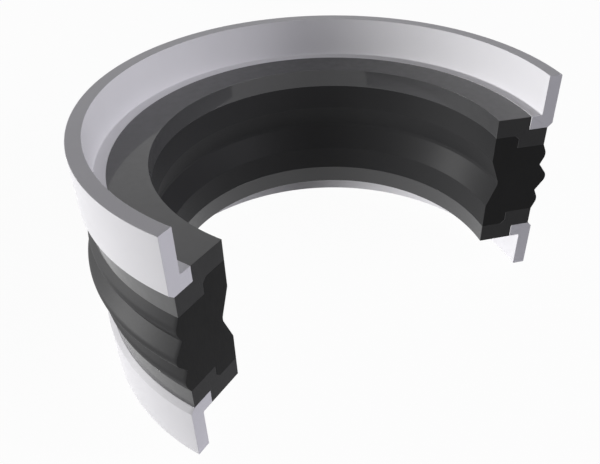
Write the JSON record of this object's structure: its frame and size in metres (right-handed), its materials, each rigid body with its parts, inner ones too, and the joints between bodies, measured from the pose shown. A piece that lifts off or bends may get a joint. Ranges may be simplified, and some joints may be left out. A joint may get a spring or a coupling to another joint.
{
  "type": "piston seal",
  "caption": "Double-acting hydraulic piston seal set, cut open: ribbed rubber sealing element between stepped back-up rings and L-shaped guide rings.",
  "frame": {"origin": "on the ring axis, midway between the two end faces", "axes": "+Z along the ring axis, -Y through the middle of the cut-out sector"},
  "size_m": [0.0642, 0.0445, 0.032],
  "materials": {
    "guide_plastic": "satin",
    "backup_plastic": "gloss",
    "seal_rubber": "satin"
  },
  "bodies": {
    "root": {"upper_guide_ring": "guide_plastic", "upper_backup_ring": "backup_plastic", "sealing_element": "seal_rubber", "lower_backup_ring": "backup_plastic", "lower_guide_ring": "guide_plastic"}
  },
  "joints": []
}
